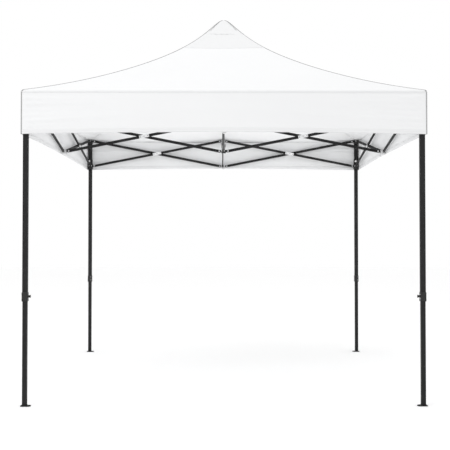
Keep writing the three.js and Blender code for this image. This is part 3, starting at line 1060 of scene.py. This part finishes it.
def sheet_grid(name, columns, rows, place):
    """A grid of cloth. place gives, for shares across and down from 0 to 1, the point in the front
    side's frame and its place on the flat cloth in metres."""
    bpy.ops.object.select_all(action="DESELECT")
    bpy.ops.mesh.primitive_grid_add(x_subdivisions=columns, y_subdivisions=rows, size=1)
    sheet = settled(bpy.context.object, name)
    mesh = sheet.data
    flat = []
    for vertex in mesh.vertices:
        point, on_cloth = place(vertex.co.x + 0.5, vertex.co.y + 0.5)
        vertex.co = point
        flat.append(on_cloth)
    uv = mesh.uv_layers.active
    uv.name = "metres"
    for loop in mesh.loops:
        uv.data[loop.index].uv = flat[loop.vertex_index]
    for polygon in mesh.polygons:
        polygon.use_smooth = True
    return sheet


def thickened(sheet, thickness, offset=-1):
    only(sheet)
    modifier = sheet.modifiers.new("thickness", "SOLIDIFY")
    modifier.thickness = thickness
    modifier.offset = offset
    modifier.use_even_offset = True
    bpy.ops.object.modifier_apply(modifier=modifier.name)
    return sheet


def outward_faces(sheet):
    """Turns the sheet's faces so that they look up or out, in the front side's frame."""
    middle = sheet.data.polygons[len(sheet.data.polygons) // 2].normal
    if middle.z - middle.y < 0:
        sheet.data.flip_normals()
    return sheet


ROOF_COLUMNS, ROOF_ROWS = 150, 90
SLANT = 1.74  # along the roof from the pole to the eave
ROLL = 12 * MM  # radius of the roof's turn down into the valance
PIPING_WIDTH = 15 * MM
HEM_RISE = 15 * MM  # the hem hangs this much higher in the middle than at the legs
HEM = 32 * MM
DOUBLED_TO = 0.36  # the cloth is doubled from the pole out to here


def rolled(s):
    """The roof's s and drop where its edge rolls over into the valance, for s up to the eave and
    a quarter turn beyond."""
    before = s - (EAVE - ROLL)
    if before <= 0:
        return s, 0.0
    angle = min(math.pi / 2, before / ROLL)
    return EAVE - ROLL + ROLL * math.sin(angle), ROLL * (1 - math.cos(angle))


def roof_sheet(name, columns, rows, end, lift, seed):
    """A sheet of one side of the roof, from the pole's patch out to an end, lifted by a height."""
    start = PATCH - 40 * MM

    def point(a, b):
        along = start + (end - start) * b
        s, drop = rolled(along)
        x = (2 * a - 1) * s
        z = roof_height(s) + roof_ripple(x, s, seed) - drop + lift
        return Vector((x, -s, z)), (x, along * SLANT / EAVE)

    return outward_faces(sheet_grid(name, columns, rows, point))


def over_hip(s, over):
    """A point on the hip at s, and beside it on either side by a signed distance."""
    return (s - abs(over), -s) if over < 0 else (s, -s + over)


def piping(name, start, end, height, lift):
    """A narrow sewn seam between this side's cloth and the next side's."""

    def point(a, b):
        along = start + (end - start) * b
        over = (a - 0.5) * PIPING_WIDTH
        x, y = over_hip(*height(along)[:1], over)
        crown = lift * (1 - (2 * a - 1) ** 4)
        return Vector((x, y, height(along)[1] + crown)), (a * PIPING_WIDTH, along)

    return thickened(outward_faces(sheet_grid(name, 8, 120, point)), 0.8 * MM)


def make_roof(index, side):
    body = side + "_cover"
    seed = 1.7 * index + 0.6
    edge = EAVE - ROLL + ROLL * math.pi / 2
    panel = roof_sheet(side + "_roof", ROOF_COLUMNS, ROOF_ROWS, edge, -0.6 * MM, seed)
    thickened(panel, CLOTH)
    doubling = roof_sheet(side + "_roof_doubling", 70, 34, DOUBLED_TO, 0.5 * MM, seed)
    thickened(doubling, 0.9 * MM)

    def hip(along):
        s, drop = rolled(along)
        return s, roof_height(s) - drop

    end = EAVE - ROLL + ROLL * 1.2
    seam = piping(side + "_hip_seam", PATCH - 30 * MM, end, hip, 1.6 * MM)
    for piece, material in ((panel, COVER), (doubling, DOUBLED), (seam, PIPING)):
        piece.data.transform(quarter_turn(index))
        fitted(piece, body, material)
        squash_across(piece, index)
    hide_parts(side + "_cover")


def squash_across(piece, index):
    """Gives the piece its own copy of its mesh. The direction along the side is worked out but not used.
    """
    along = quarter_turn(index) @ Vector((1, 0, 0))
    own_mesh(piece)


def make_valance(index, side):
    body = side + "_upper_hub"
    seed = 2.3 * index + 1.1
    top = roof_height(EAVE) - ROLL

    def drop_at(x):
        return top - VALANCE_BOTTOM - HEM_RISE * (1 - (x / EAVE) ** 2)

    def strip(name, columns, rows, from_hem, height, proud, thickness):
        """A strip of the valance: from its top edge, or from a height above its hem."""

        def point(a, b):
            x = (2 * a - 1) * (EAVE - 0.5 * MM)
            whole = drop_at(x)
            down = whole - height * (1 - b) if from_hem else (height or whole) * b
            y = -EAVE - proud - valance_ripple(x, down, seed)
            cloth = (height * (1 - b), x) if height else (x, down)
            return Vector((x, y, top - down)), cloth

        return thickened(outward_faces(sheet_grid(name, columns, rows, point)), thickness)

    panel = strip(side + "_valance", 240, 60, False, 0, 0, CLOTH)
    hem = strip(side + "_valance_hem", 240, 7, True, HEM, 0.5 * MM, 2 * MM)
    edge = strip(side + "_eave_seam", 240, 3, False, 11 * MM, 0.5 * MM, 1.5 * MM)

    def corner_point(a, b):
        over = (a - 0.5) * PIPING_WIDTH
        down = drop_at(EAVE) * b
        x, y = over_hip(EAVE + 1.2 * MM, over)
        return Vector((x, y, top - down)), (a * PIPING_WIDTH, down)

    corner = thickened(outward_faces(sheet_grid(side + "_corner_seam", 8, 40, corner_point)), MM)
    for piece, material in ((panel, COVER), (hem, TAPE), (edge, TAPE), (corner, PIPING)):
        piece.data.transform(quarter_turn(index))
        fitted(piece, body, material)
        squash_across(piece, index)
    top - VALANCE_BOTTOM + HEM


def make_peak():
    """The doubled cloth over the pole's cap: four sides in one sheet, with piping along its four hips."""
    steps = 48

    def point(a, b):
        x, y = (2 * a - 1) * PATCH, (2 * b - 1) * PATCH
        s = max(abs(x), abs(y))
        soft = (abs(x) ** 7 + abs(y) ** 7) ** (1 / 7) if s > 0 else 0
        z = min(roof_height(s), roof_height(soft)) + 0.6 * MM
        return Vector((x, y, z)), (x, y)

    peak = sheet_grid("peak_patch", steps, steps, point)
    thickened(outward_faces(peak), 1.4 * MM)
    fitted(peak, "peak_pole", DOUBLED, ["roof_peak"])

    def hip(s):
        return s, roof_height(s) + 1.0 * MM

    seams = []
    for index in range(4):
        seam = piping("peak_seam_" + str(index + 1), 9 * MM, PATCH - MM, hip, 1.2 * MM)
        seam.data.transform(quarter_turn(index))
        fitted(seam, "peak_pole", PIPING)
        seams.append(seam)
    for piece in (peak, *seams):
        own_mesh(piece)


# ---------------------------------------------------------------------------------------------
# The whole canopy
# ---------------------------------------------------------------------------------------------

for side_index, side_name in enumerate(SIDES):
    make_bars(side_index, side_name)
    make_side_hubs(side_index, side_name)
    make_roof(side_index, side_name)
    make_valance(side_index, side_name)
for corner_index, corner_name in enumerate(CORNERS):
    make_corner(corner_index, corner_name)
make_centre_hubs()
make_pole()
make_peak()
discarded(
    CLEVIS_BOLT, CROSS_BOLT, EAR_SHAPE, BAR_SHAPE, SLEEVE_SHAPE, RIVET_SHAPE, TUBE, COLLAR, CAP,
    SCREW, SLIDER, BUTTON_BOSS, BUTTON, KNOB, INNER, FOOT,
)


def make_studio():
    bpy.ops.object.select_all(action="DESELECT")
    bpy.ops.mesh.primitive_plane_add(size=60, location=(0, 0, -0.0005))
    floor = bpy.context.object
    floor.name = "studio_floor"
    floor.data.materials.append(studio_floor())
    world = bpy.data.worlds.new("studio")
    world.use_nodes = True
    world.node_tree.nodes["Background"].inputs["Color"].default_value = (1, 1, 1, 1)
    world.node_tree.nodes["Background"].inputs["Strength"].default_value = 1.0
    bpy.context.scene.world = world


make_studio()
